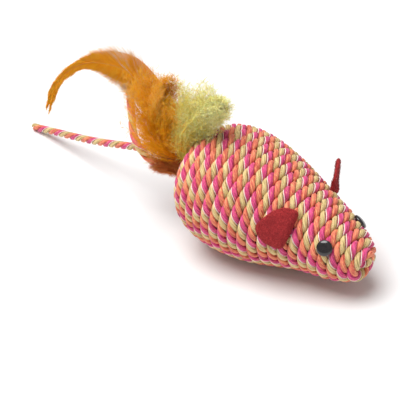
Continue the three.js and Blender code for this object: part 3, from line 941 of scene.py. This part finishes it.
# Each feather's length, quill radius and half depth are in millimetres, its lane is in shares of
# the socket's radius, its route and its blade's up and down reach in shares of its length, and
# the blade's depth in shares of the half depth
HACKLE = Feather(
    length=90, quill=0.65, half=0.45, lane=(0.58, 0.5),
    route=(
        (0, 0.032, 0.03), (-0.055, 0.029, 0.038), (-0.1, 0.026, 0.052), (-0.2, 0.022, 0.11),
        (-0.3, 0.018, 0.19), (-0.38, 0.015, 0.25), (-0.47, 0.012, 0.27), (-0.57, 0.01, 0.25),
        (-0.714, 0.01, 0.185), (-0.863, 0.01, 0.0575), (-0.958, 0.01, -0.0725),
        (-1.015, 0.01, -0.208),
    ),
    widths=(
        *[(0, 0, 0)] * 4, (0.016, 0.016, 1), (0.055, 0.045, 1),
        (0.1, 0.075, 1), (0.13, 0.1, 1), (0.145, 0.115, 1), (0.14, 0.12, 1), (0.13, 0.12, 1),
        (0.1, 0.112, 1), (0.08, 0.098, 1), (0.061, 0.078, 1), (0.048, 0.046, 1),
        (0.027, 0.024, 0.8), (0.019, 0.0105, 0.6), (0.014, 0.0085, 0.5), (0.0105, 0.01, 0.5),
        (0.009, 0.0115, 0.5), (0.0105, 0.014, 0.5), (0.0165, 0.0165, 0.5), (0.022, 0.022, 0.5),
        (0.006, 0.006, 0.4),
    ),
)

ORANGE_PLUME = Feather(
    length=36, quill=0.5, half=3.4, lane=(-0.6, 0.5),
    route=(
        (-0.055, -0.09, 0.075), (-0.195, -0.128, 0.095), (-0.333, -0.162, 0.18),
        (-0.43, -0.167, 0.36), (-0.42, -0.167, 0.58), (-0.34, -0.167, 0.77),
        (-0.24, -0.167, 0.9),
    ),
    widths=(
        *[(0, 0, 0)] * 5, (0.03, 0.04, 0.2),
        (0.06, 0.14, 0.5), (0.11, 0.25, 0.8), (0.165, 0.33, 1), (0.215, 0.37, 1),
        (0.26, 0.36, 1), (0.275, 0.335, 1), (0.285, 0.305, 1), (0.285, 0.275, 0.9),
        (0.25, 0.22, 0.7), (0.1, 0.08, 0.3),
    ),
)

YELLOW_PLUME = Feather(
    length=36, quill=0.5, half=3.4, lane=(-0.82, -0.04),
    route=(
        (0.014, -0.117, 0.017), (-0.028, -0.139, 0.083), (-0.056, -0.144, 0.194),
        (-0.06, -0.136, 0.39), (0.02, -0.117, 0.61), (0.13, -0.1, 0.8),
        (0.27, -0.094, 0.94), (0.4, -0.094, 1.0),
    ),
    widths=(
        *[(0, 0, 0)] * 5, (0.033, 0.042, 0.3),
        (0.07, 0.083, 0.6), (0.11, 0.12, 0.85), (0.14, 0.14, 1), (0.18, 0.165, 1),
        (0.205, 0.19, 1), (0.215, 0.215, 1), (0.215, 0.235, 1), (0.2, 0.22, 0.9),
        (0.17, 0.165, 0.7), (0.06, 0.06, 0.3),
    ),
)

LOWER_PLUME = Feather(
    length=26, quill=0.5, half=2.2, lane=(0, -0.78),
    route=(
        (0.04, -0.02, -0.1), (-0.115, -0.12, -0.08), (-0.29, -0.24, -0.08),
        (-0.5, -0.27, -0.1), (-0.73, -0.277, -0.19), (-0.92, -0.277, -0.3),
    ),
    widths=(
        *[(0, 0, 0)] * 4, (0.035, 0.035, 0.3), (0.08, 0.085, 0.7),
        (0.125, 0.145, 1), (0.16, 0.185, 1), (0.185, 0.2, 1), (0.19, 0.19, 1),
        (0.16, 0.145, 0.8), (0.05, 0.05, 0.3),
    ),
)


def barb_points(
    feather, rng, root, lead, angle, share, bow, fuller=((1, 1, 1), (1, 1, 1)), least=(0, 0, 0)
):
    """Roots, aims and bends of barbs: each leaves the quill at one share of it and ends at the
    blade's edge a little farther on, at an angle round the quill. Down stands out beyond the
    blade up, down and deep by the fuller shares, given at the quill's two ends, and never
    stands out less than the least."""
    start = feather.at(root)[0]
    tip, _, side, depth = feather.at(root + lead)
    reach = feather.reach(np.clip(root + lead, 0, 0.999))
    up, low, deep = [
        np.maximum(size * (a + (b - a) * root), floor)
        for size, a, b, floor in zip(reach, *fuller, least)
    ]
    turn_cos, turn_sin = np.cos(angle), np.sin(angle)
    wide = np.where(turn_cos > 0, up, low)
    edge = side * (wide * turn_cos)[:, None] + depth * (deep * turn_sin)[:, None]
    aim = tip + edge * share[:, None] - start
    size = np.linalg.norm(aim, axis=1)
    outward = edge / (np.linalg.norm(edge, axis=1)[:, None] + 1e-6)
    waver = rng.normal(0, BARB_WAVER, (len(root), 3))
    return start, aim, outward * (size * bow)[:, None] + waver * size[:, None]


def barbules(rng, barbs, count, size):
    """Fine hairs that stand on barbs. Gives which barb, the place along it, root and aim."""
    start, aim, bend = barbs
    which = rng.integers(0, len(start), count)
    at = rng.uniform(0.2, 1, count)
    share = at[:, None]
    root = start[which] + aim[which] * share + bend[which] * 4 * share * (1 - share)
    way = unit(aim[which] + bend[which] * 4 * (1 - 2 * share))
    lean = way * rng.uniform(0.3, 1, (count, 1)) + rng.normal(0, 0.45, (count, 3))
    lean *= (size * rng.uniform(0.5, 1.2, count) / np.linalg.norm(lean, axis=1))[:, None]
    return which, at, root, lean


def plume(name, node, feather, material, seed, counts, fluff_size, fuller, least, span):
    """Marabou down: long barbs that fan from the quill in tufts, each set with fine barbules.
    The counts are of barbs, barbules and tufts. The span is where the first and last barbs
    leave the quill and where the last tips lie, in shares of it."""
    rng = np.random.default_rng(seed)
    count, hairs, tufts = counts
    first, last, end = span
    tuft_root = rng.uniform(first, last - TUFT_REACH[0], tufts)
    tuft_lead = np.minimum(rng.uniform(*TUFT_REACH, tufts), end - tuft_root)
    tuft_angle = rng.uniform(0, 2 * math.pi, tufts)
    tuft_share = rng.uniform(0.75, 1.05, tufts)
    tuft_tone = rng.uniform(0, 1, tufts)
    which = rng.integers(0, tufts, count)
    spread = rng.uniform(0.3, 1, count)
    root = np.clip(tuft_root[which] + rng.normal(0, ROOT_SPREAD, count), first, last - 0.02)
    tip_at = tuft_root[which] + tuft_lead[which] + rng.normal(0, TIP_SPREAD, count) * spread
    angle = tuft_angle[which] + rng.normal(0, ANGLE_SPREAD, count) * spread
    share = tuft_share[which] * rng.uniform(0.3, 1, count) ** 0.4
    lead = np.maximum(tip_at - root, 0.03)
    barbs = barb_points(
        feather, rng, root, lead, angle, share, bow=0.14, fuller=fuller, least=least
    )
    tone = np.clip((root - first) / (last - first) + rng.normal(0, 0.12, count), 0, 1)
    faded = np.clip(tuft_tone[which] * 1.1 - 0.55 + rng.normal(0, 0.1, count), 0, 1)
    down = laid_hairs(
        name, barbs, rng.uniform(*BARB_THICK, count), material,
        steps=6, wave=3, wave_scale=260.0, tone=tone, faded=faded,
    )
    on, at, foot, lean = barbules(rng, barbs, hairs, fluff_size)
    fluff = laid_hairs(
        name + "_fluff", (foot, lean, rng.normal(0, 0.4, (hairs, 3))),
        rng.uniform(*FLUFF_THICK, hairs), material, steps=4, wave=1.5, wave_scale=400.0,
        tone=np.clip(tone[on] + at * 0.3 - 0.1, 0, 1), faded=faded[on],
    )
    stem = quill_piece(name + "_quill", feather, PALE_QUILL, taper=0.75)
    given(joined(name, [down, fluff, stem]), node)


def quill_piece(name, feather, material, taper, share=1):
    radius = feather.quill * share * MM
    values = {"Radius": radius, "Taper share": taper, "Material": material}
    return grown(name, line_carrier(name, feather.line[::3]), QUILL, values)


def vane_sheet(name, feather, material, rows, columns, start, inside):
    """The thin web of the hackle's vane, under its separate barbs."""
    share = np.linspace(start, 0.985, rows)
    point, _, side, depth = feather.at(share)
    up, low, _ = feather.reach(share)
    across = np.linspace(-1, 1, columns)
    wide = np.where(across[None, :] > 0, up[:, None], low[:, None]) * inside * across[None, :]
    dish = -VANE_DISH * wide**2 / (np.abs(wide).max() + 1e-6)
    grid = point[:, None] + side[:, None] * wide[..., None] + depth[:, None] * dish[..., None]
    slant = (share[:, None] * feather.span - np.abs(wide) * VANE_SLANT) * MM
    rib = np.stack([slant, wide * MM, 0 * wide], -1).reshape(-1, 3)
    edge = np.broadcast_to(np.abs(across), wide.shape).ravel()
    faces = grid_faces(rows, columns, False)
    mesh = new_mesh(name, laid(grid.reshape(-1, 3)), (), faces, rib=rib, edge=edge)
    mesh.materials.append(material)
    return placed(name, smoothed(mesh))


def hackle(seed, count):
    """The long feather: close barbs in the plane of its vane, and pale wisps along its edges
    where it is downy."""
    rng = np.random.default_rng(seed)
    edging = np.arange(count) % EDGING_EVERY == 0
    root = VANE_START + VANE_LONG * rng.uniform(0, 1, count) ** 1.15
    root = np.where(edging, rng.uniform(*EDGING_ROOTS, count), root)
    upper = rng.random(count) < np.where(edging, 0.3, 0.5)
    clump = np.sin(root * 260 + upper * 2) + np.sin(root * 119 + upper)
    lead = rng.uniform(*VANE_LEAD, count) * np.where(root > 0.75, 0.75, 1) + clump * 0.004
    angle = np.where(upper, 0, math.pi) + rng.normal(0, 0.25, count)
    share = rng.uniform(*VANE_REACH, count) + clump * 0.02
    share += edging * (EDGING_REACH + 0.1 * np.sin(root * 130))
    start, aim, bend = barb_points(HACKLE, rng, root, lead, angle, share, bow=0.1)
    downy = np.clip((DOWNY_BELOW - root) / 0.2, 0, 1)
    scallop = 0.5 + 0.5 * np.sin(root * 150 + 2 * upper)
    aim = aim * (1 + downy * (rng.uniform(-0.15, 0.14, count) + 0.12 * scallop))[:, None]
    barbs = laid_hairs(
        "hackle", (start, aim, bend), rng.uniform(*VANE_BARB_THICK, count), HACKLE_BARBS,
        steps=6, wave=1.2, wave_scale=300.0,
        tone=np.clip(0.5 + clump * 0.14 + rng.normal(0, 0.15, count), 0, 1),
        faded=downy * (0.35 + 0.25 * scallop + rng.normal(0, 0.08, count)) + edging * 0.08,
    )
    web = vane_sheet(
        "hackle_web", HACKLE, HACKLE_WEB, rows=260, columns=15, start=0.36, inside=0.8
    )
    stem = quill_piece("hackle_quill", HACKLE, HACKLE_QUILL, taper=0.8, share=0.5)
    given(joined("hackle_feather", [barbs, web, stem]), "orange_feather")


# Barbs and down: their shades at the root, in the middle and at the tip, and where washed out
HACKLE_BARBS = down_material(
    "orange barbs", (244, 142, 4), (255, 168, 24), (255, 186, 70), (236, 224, 214)
)
HACKLE_WEB = vane_material("orange web", (255, 164, 22), (226, 128, 8), (255, 184, 60))
HACKLE_QUILL = quill_material("orange quill", (240, 150, 20), (214, 122, 10))
ORANGE_DOWN = down_material(
    "orange down", (255, 150, 2), (255, 176, 10), (255, 206, 110), (250, 214, 180)
)
YELLOW_DOWN = down_material(
    "yellow down", (255, 214, 60), (255, 250, 160), (255, 252, 200), (252, 250, 220)
)
# Its dark red root colour is partly dye and partly painted shade by the socket and the cords.
BROWN_DOWN = down_material(
    "brown down", (156, 50, 30), (208, 106, 42), (228, 138, 66), (236, 180, 120)
)
PALE_QUILL = quill_material("pale quill", (236, 214, 160), (200, 160, 96))

hackle(seed=11, count=6200)
plume(
    "orange_plume_down", "orange_plume", ORANGE_PLUME, ORANGE_DOWN, seed=21,
    counts=(2200, 6800, 120), fluff_size=3.6, fuller=((3.1, 1.1, 2.4), (2.6, 2.8, 2.4)),
    least=(18, 6, 6), span=(0.3, 1, 1.04),
)
plume(
    "yellow_plume_down", "yellow_plume", YELLOW_PLUME, YELLOW_DOWN, seed=31,
    counts=(2200, 6800, 120), fluff_size=3.6, fuller=((0.5, 0.1, 1.2), (2.0, 3.3, 2.4)),
    least=(2, 1, 3), span=(0.28, 1, 1.05),
)
plume(
    "lower_plume_down", "lower_plume", LOWER_PLUME, BROWN_DOWN, seed=41,
    counts=(1800, 6000, 80), fluff_size=2.4, fuller=((4.2, 0.1, 2.2), (3.4, 0.1, 1.8)),
    least=(12, 0.3, 4), span=(0.1, 0.7, 0.76),
)


# Felt ears

EAR_LENGTH = 12.0
EAR_WIDTH = 14.5
EAR_TAB_DEPTH = 2.0
EAR_TAB_SHARE = 0.72
EAR_BEND = 1.6
EAR_TWIST_SHARE = 0.45
EAR_SHARES = (0.95, 1, 1, 0.99, 0.96, 0.9, 0.8, 0.64, 0.42, 0.14)
EAR_RUFFLE = 0.16
EAR_EDGE_ROUND = (0.55, 0.75)
EAR_TIP_SHARE = 0.1
FELT_THICK = 1.5
FUZZ_COUNT = 2600
FUZZ_LENGTH = 0.8
FUZZ_THICK = 0.035
RIGHT_EAR = {
    "side": -53, "station": 57.94, "lay_back": 84, "twist": 0, "root": 1, "sweep": 0.22,
    "cup": 0.81,
}
LEFT_EAR = {
    "side": 54, "station": 55.26, "lay_back": 40, "twist": 30, "root": 0.4, "sweep": 0,
    "cup": 2.5,
}


def ear_step(length, lay):
    """How far back and out a place along the ear lies, and the slope there."""
    arc = EAR_BEND * lay
    if length <= 0:
        return 0.0, length, 0.0
    if length <= arc:
        slope = length / EAR_BEND
        return EAR_BEND * (1 - math.cos(slope)), EAR_BEND * math.sin(slope), slope
    beyond = length - arc
    return (
        EAR_BEND * (1 - math.cos(lay)) + beyond * math.sin(lay),
        EAR_BEND * math.sin(lay) + beyond * math.cos(lay),
        lay,
    )


def ear_mesh(name, ear, rows, columns):
    """A closed petal of felt with a rounded edge, in rings across its length."""
    point, out, down, back = surface_at(ear["station"], math.radians(ear["side"]))
    lay = math.radians(ear["lay_back"])
    cup = ear["cup"] * BODY_RADIUS
    turn_round = np.linspace(0, 2 * math.pi, columns, endpoint=False)
    flat_cos, flat_sin = [
        np.sign(wave) * np.abs(wave) ** power
        for wave, power in zip((np.cos(turn_round), np.sin(turn_round)), EAR_EDGE_ROUND)
    ]
    even = np.linspace(0, 1, len(EAR_SHARES))
    rings = []
    tip_round = np.sin(np.linspace(0, math.pi / 2, rows))
    lengths = np.concatenate([[-EAR_TAB_DEPTH, -EAR_TAB_DEPTH * 0.4], EAR_LENGTH * tip_round])
    for length in lengths:
        place = max(length / EAR_LENGTH, 0)
        share = EAR_TAB_SHARE if length < 0 else np.interp(place, even, EAR_SHARES)
        ending = max((place - (1 - EAR_TIP_SHARE)) / EAR_TIP_SHARE, 0)
        closing = math.sqrt(max(1 - ending**2, 0.0004))
        opened = smooth_steps(place / EAR_TWIST_SHARE)
        half = EAR_WIDTH / 2 * share * (ear["root"] + (1 - ear["root"]) * opened)
        half *= 0.55 + 0.45 * closing
        turn = math.radians(ear["twist"]) * opened
        across = down * math.cos(turn) + back * math.sin(turn)
        along = back * math.cos(turn) - down * math.sin(turn)
        step_back, step_out, slope = ear_step(length, lay)
        wide = half * flat_cos + ear["sweep"] * EAR_WIDTH * place * place
        deep = FELT_THICK / 2 * flat_sin * closing
        ruffle = EAR_RUFFLE * np.sin(wide * 0.9 + length * 0.5) * place
        bow = wide / cup
        tilted = out * np.cos(bow)[:, None] + across * np.sin(bow)[:, None]
        rise = step_out + (deep + ruffle) * math.sin(slope)
        slide = step_back - (deep + ruffle) * math.cos(slope)
        rings.append(point + tilted * (cup + rise)[:, None] - out * cup + along * slide[:, None])
    return closed_rings(name, rings)


def closed_rings(name, rings):
    """A closed skin over rings of points, in metres."""
    count = len(rings[0])
    faces = grid_faces(len(rings), count, True)
    faces.append(tuple(range(count))[::-1])
    faces.append(tuple(range((len(rings) - 1) * count, len(rings) * count)))
    mesh = new_mesh(name, laid(np.vstack(rings)), (), faces)
    faired = bmesh.new()
    faired.from_mesh(mesh)
    bmesh.ops.recalc_face_normals(faired, faces=faired.faces)
    faired.to_mesh(mesh)
    faired.free()
    return smoothed(mesh)


def felt_material(name, *shades):
    """Pressed wool: matted fibres in every direction and uneven dye."""
    base, dark, light = colours(shades)
    material, make, surface = shader(name)
    place = make.place()
    warp = make.scaled(make.noise(place, 900.0, out=1), 0.0012)
    matted = make.noise(make.vector("ADD", place, warp), 2600.0, 4.0)
    patch = make.noise(place, 260.0)
    shade = make.ramp(matted, (0.32, dark), (0.5, base), (0.7, light))
    make.fill(surface, {
        "Base Color": make.mixed(make.ranged(patch, 0.4, 0.7, 0.0, 0.4), shade, dark),
        "Normal": make.bump(matted + patch * 0.5, 0.8, 0.0003),
        "Roughness": 0.95,
        "Sheen Weight": 0.2,
        "Sheen Roughness": 0.6,
        "Sheen Tint": light,
    })
    return material


def fuzz(name, mesh, material, seed):
    """Short stray fibres that stand out of a skin."""
    rng = np.random.default_rng(seed)
    corners = coordinates(mesh)
    mesh.calc_loop_triangles()
    triangles = np.array([t.vertices[:] for t in mesh.loop_triangles])
    a, b, c = (corners[triangles[:, k]] for k in range(3))
    normal = np.cross(b - a, c - a)
    area = np.linalg.norm(normal, axis=1)
    picked = rng.choice(len(triangles), FUZZ_COUNT, p=area / area.sum())
    u, v = rng.random(FUZZ_COUNT), rng.random(FUZZ_COUNT)
    over = u + v > 1
    u[over], v[over] = 1 - u[over], 1 - v[over]
    roots = a[picked] + (b - a)[picked] * u[:, None] + (c - a)[picked] * v[:, None]
    out = normal[picked] / area[picked][:, None]
    lean = out * rng.uniform(0.1, 0.8, (FUZZ_COUNT, 1)) + rng.normal(0, 0.7, (FUZZ_COUNT, 3))
    length = FUZZ_LENGTH * MM * rng.uniform(0.5, 1.2, FUZZ_COUNT)
    lean *= (length / np.linalg.norm(lean, axis=1))[:, None]
    carrier = new_mesh(
        name,
        roots - out * 0.05 * MM,
        aim=lean,
        bend=rng.normal(0, 0.2 * FUZZ_LENGTH * MM, (FUZZ_COUNT, 3)),
        thick=np.full(FUZZ_COUNT, FUZZ_THICK * MM),
    )
    return haired(name, carrier, material, steps=4, wave=0.3, wave_scale=900.0)


FELT = felt_material("red felt", (160, 33, 37), (117, 17, 22), (184, 58, 58))


def felt_ear(name, node, ear, seed):
    mesh = ear_mesh(name, ear, rows=30, columns=40)
    mesh.materials.append(FELT)
    hairs = fuzz(name + "_fuzz", mesh, FELT, seed)
    sheet = placed(name, mesh)
    for piece in (sheet, hairs):
        given(piece, node)


felt_ear("felt_ear_right", "ear_right", RIGHT_EAR, 5)
felt_ear("felt_ear_left", "ear_left", LEFT_EAR, 6)


# Bead eyes

EYE_RADIUS = 2.9
EYE_HEIGHT = 1.5
EYE_RIM = 0.5
EYE_SINK = 0.4
EYE_PIN_RADIUS = 0.6
EYE_PIN_LENGTH = 8.0
EYE_STATION = 0.845 * BODY_LENGTH
EYE_SIDE = 51.7
EYE_EDGE = 0.18
EYE_RINGS = 22
EYE_SIDES = 72


def eye_bead(name, node, side):
    """A domed bead with a rounded rim on a thin pin."""
    point, out, down, _ = surface_at(EYE_STATION, math.radians(EYE_SIDE) * side)
    third = np.cross(down, out)
    base = point - out * EYE_SINK
    profile = [(0.02, -EYE_PIN_LENGTH), (EYE_PIN_RADIUS * 0.6, -EYE_PIN_LENGTH + 0.2)]
    profile += [(EYE_PIN_RADIUS, -EYE_PIN_LENGTH + 1.4), (EYE_PIN_RADIUS, -0.02)]
    profile += [(EYE_RADIUS - EYE_EDGE, 0), (EYE_RADIUS - EYE_EDGE * 0.3, EYE_EDGE * 0.3)]
    profile += [(EYE_RADIUS, EYE_EDGE)]
    for angle in np.linspace(0, math.pi / 2 - 0.02, EYE_RINGS):
        height = EYE_RIM + (EYE_HEIGHT - EYE_RIM) * math.sin(angle)
        profile.append((EYE_RADIUS * math.cos(angle), height))
    turn_round = np.linspace(0, 2 * math.pi, EYE_SIDES, endpoint=False)
    ring_ways = down * np.cos(turn_round)[:, None] + third * np.sin(turn_round)[:, None]
    rings = [base + out * height + ring_ways * radius for radius, height in profile]
    mesh = closed_rings(name, rings)
    mesh.materials.append(BEAD)
    given(placed(name, mesh), node)


# Moulded black plastic: glossy, with faint swirls and a little dust
BEAD = grained_material(
    "black bead", (0.022, 0.016, 0.018, 1), (0.008, 0.006, 0.007, 1),
    grain=(420.0, 2.0), stops=(0.35, 0.7), relief=(0.15, 0.0001),
    rough=(5200.0, 2.0, 0.45, 0.75, 0.12, 0.3), Coat_Weight=0.5, Coat_Roughness=0.08,
)
eye_bead("bead_eye_right", "eye_right", -1)
eye_bead("bead_eye_left", "eye_left", 1)


# Inner pieces: a core of turned light wood with long grain, and cloudy set glue


def painted(node, material):
    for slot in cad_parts[node].material_slots:
        slot.material = material


painted("core", grained_material(
    "turned wood", colour(217, 201, 163), colour(186, 162, 118), grain=(420.0, 5.0),
    stops=(0.35, 0.6), relief=(0.3, 0.0002), stretch=(0.12, 1, 1), Roughness=0.8,
))
painted("glue_plug", grained_material(
    "set glue", colour(216, 198, 154), colour(188, 164, 112), grain=(500.0, 3.0),
    stops=(0.3, 0.7), relief=(0.4, 0.0003), rough=(500.0, 3.0, 0.3, 0.7, 0.25, 0.5),
))


# Stage

FLOOR_HALF = 3.0
FLOOR_SHADE = 0.88
SKY_STRENGTH = 0.36
LAMP_PLACE = (-0.09, -0.18, 1.0)
LAMP_AIM = (0, 0, 0.02)
LAMP_SIZE = 0.9
LAMP_POWER = 13.0


def make_stage():
    signs = ((-1, -1), (1, -1), (1, 1), (-1, 1))
    corners = [(x * FLOOR_HALF, y * FLOOR_HALF, 0) for x, y in signs]
    floor = placed("floor", new_mesh("floor", corners, (), [(0, 1, 2, 3)]))
    material, make, surface = shader("pale floor")
    shade = (FLOOR_SHADE, FLOOR_SHADE, FLOOR_SHADE, 1)
    make.fill(surface, {"Base Color": shade, "Roughness": 0.9})
    floor.data.materials.append(material)
    world = bpy.data.worlds.new("studio")
    scene.world = world
    world.use_nodes = True
    background = world.node_tree.nodes["Background"]
    background.inputs["Color"].default_value = WHITE
    background.inputs["Strength"].default_value = SKY_STRENGTH


def soft_lamp():
    lamp = placed("key", bpy.data.lights.new("key", "AREA"))
    lamp.data.shape = "DISK"
    lamp.data.size = LAMP_SIZE
    lamp.data.energy = LAMP_POWER
    lamp.location = LAMP_PLACE
    way = Vector(LAMP_AIM) - Vector(LAMP_PLACE)
    lamp.rotation_euler = way.to_track_quat("-Z", "Y").to_euler()


make_stage()
soft_lamp()
scene.view_settings.view_transform = "Standard"
